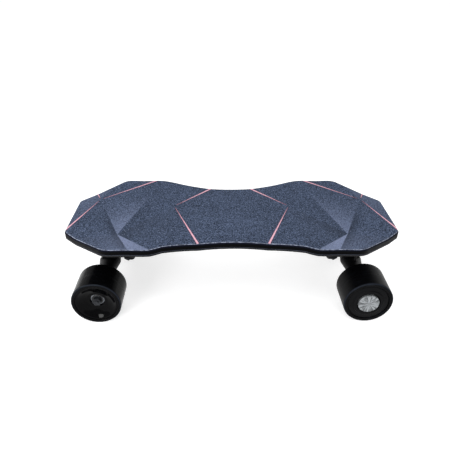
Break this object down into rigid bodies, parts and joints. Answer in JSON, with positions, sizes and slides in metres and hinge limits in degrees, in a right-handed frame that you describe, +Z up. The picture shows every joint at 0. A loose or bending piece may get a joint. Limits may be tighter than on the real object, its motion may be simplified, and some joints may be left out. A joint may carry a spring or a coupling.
{
  "type": "electric skateboard",
  "caption": "Short electric skateboard: faceted hourglass deck, sprung steering trucks, free-rolling front wheels and hub-motor rear wheels.",
  "frame": {"origin": "on the floor, under the middle of the board", "axes": "+X along the board to the motor end, +Y across it, +Z up"},
  "size_m": [0.544, 0.238, 0.1469],
  "materials": {
    "grip": "abrasive grit sheet, blue-grey, sparkling",
    "stripe_pink": "printed line, light pink",
    "stripe_red": "printed line border, deep red",
    "deck_composite": "moulded composite, near black, satin",
    "gasket": "foam rubber seal, grey",
    "pan_plastic": "moulded glass-filled plastic, fine texture",
    "black_steel": "black oxide steel",
    "bare_aluminium": "ribbed, anodised",
    "cell_wrap": "shrink sleeve, blue",
    "nickel": "nickel strip",
    "tray_plastic": "moulded tray",
    "board_green": "circuit board",
    "parts_black": "electronic parts",
    "switch_metal": "brushed ring",
    "button_plastic": "red button",
    "port_plastic": "moulded socket",
    "cap_rubber": "soft rubber flap",
    "riser_rubber": "rubber pad",
    "truck_black": "cast aluminium, black powder coat",
    "zinc_steel": "plated steel",
    "bushing_urethane": "urethane, black",
    "cup_urethane": "hard urethane cup",
    "brass": "knurled insert",
    "wheel_urethane": "cast urethane, glossy black",
    "wheel_core": "glossy black dished core",
    "bearing_steel": "shielded bearing",
    "motor_black": "anodised black aluminium",
    "motor_silver": "brushed aluminium cap",
    "lamination": "stacked laminations",
    "magnet": "plated magnets",
    "lead_rubber": "rubber sheathed lead"
  },
  "bodies": {
    "deck": {"grip_sheet": "grip", "stripe_cores": "stripe_pink", "stripe_borders": "stripe_red", "deck_plate": "deck_composite", "seam_gasket": "gasket", "belly_pan": "pan_plastic", "pan_screws": "black_steel", "threaded_inserts": "brass", "heat_plate": "bare_aluminium", "cell_tray": "tray_plastic", "battery_cells": "cell_wrap", "cell_links": "nickel", "controller_board": "board_green", "controller_parts": "parts_black", "switch_bezel": "switch_metal", "charge_socket": "port_plastic", "cap_hinge": "port_plastic", "lead_glands": "port_plastic", "riser_pads": "riser_rubber", "base_plate_front": "truck_black", "base_plate_rear": "truck_black", "pivot_cups": "cup_urethane", "kingpins": "zinc_steel", "kingpin_nuts": "zinc_steel", "cup_washers": "zinc_steel", "bushings_front": "bushing_urethane", "bushings_rear": "bushing_urethane", "truck_bolts": "black_steel"},
    "power_button": {"power_button": "button_plastic"},
    "charge_cap": {"charge_cap": "cap_rubber"},
    "front_truck": {"hanger_front": "truck_black", "axle_front": "zinc_steel", "axle_spacers": "zinc_steel", "speed_washers": "zinc_steel", "axle_nuts": "zinc_steel"},
    "rear_truck": {"hanger_rear": "truck_black", "stub_axles": "zinc_steel", "stators": "lamination", "motor_leads": "lead_rubber"},
    "wheel_front_left": {"tyre_front_left": "wheel_urethane", "core_front_left": "wheel_core", "bearings_front_left": "bearing_steel"},
    "wheel_rear_left": {"tyre_rear_left": "wheel_urethane", "motor_can_left": "motor_black", "motor_cover_left": "motor_black", "motor_cap_left": "motor_silver", "magnets_left": "magnet", "motor_bearings_left": "bearing_steel"},
    "wheel_front_right": {"tyre_front_right": "wheel_urethane", "core_front_right": "wheel_core", "bearings_front_right": "bearing_steel"},
    "wheel_rear_right": {"tyre_rear_right": "wheel_urethane", "motor_can_right": "motor_black", "motor_cover_right": "motor_black", "motor_cap_right": "motor_silver", "magnets_right": "magnet", "motor_bearings_right": "bearing_steel"}
  },
  "joints": [
    {"name": "steer_front", "type": "hinge", "parent": "deck", "child": "front_truck", "pos_m": [-0.177, 0, 0.066], "axis": [-0.866, 0, 0.5], "range_deg": [-18, 18], "stiffness_Nm_per_rad": 60, "deforming": ["bushings_front"]},
    {"name": "steer_rear", "type": "hinge", "parent": "deck", "child": "rear_truck", "pos_m": [0.177, 0, 0.066], "axis": [0.866, 0, 0.5], "range_deg": [-18, 18], "stiffness_Nm_per_rad": 60, "deforming": ["bushings_rear", "motor_leads"]},
    {"name": "roll_front_left", "type": "hinge", "parent": "front_truck", "child": "wheel_front_left", "pos_m": [-0.219, -0.089, 0.04], "axis": [0, 1, 0], "continuous": true},
    {"name": "roll_front_right", "type": "hinge", "parent": "front_truck", "child": "wheel_front_right", "pos_m": [-0.219, 0.089, 0.04], "axis": [0, 1, 0], "continuous": true},
    {"name": "roll_rear_left", "type": "hinge", "parent": "rear_truck", "child": "wheel_rear_left", "pos_m": [0.219, -0.089, 0.04], "axis": [0, 1, 0], "continuous": true},
    {"name": "roll_rear_right", "type": "hinge", "parent": "rear_truck", "child": "wheel_rear_right", "pos_m": [0.219, 0.089, 0.04], "axis": [0, 1, 0], "continuous": true},
    {"name": "press_button", "type": "slide", "parent": "deck", "child": "power_button", "axis": [0, -1, 0], "range_m": [0, 0.0015], "stiffness_N_per_m": 800, "springref_m": -0.001},
    {"name": "open_cap", "type": "hinge", "parent": "deck", "child": "charge_cap", "pos_m": [0.12345, 0.04835, 0.1171], "axis": [0, 0, -1], "range_deg": [0, 120]}
  ]
}
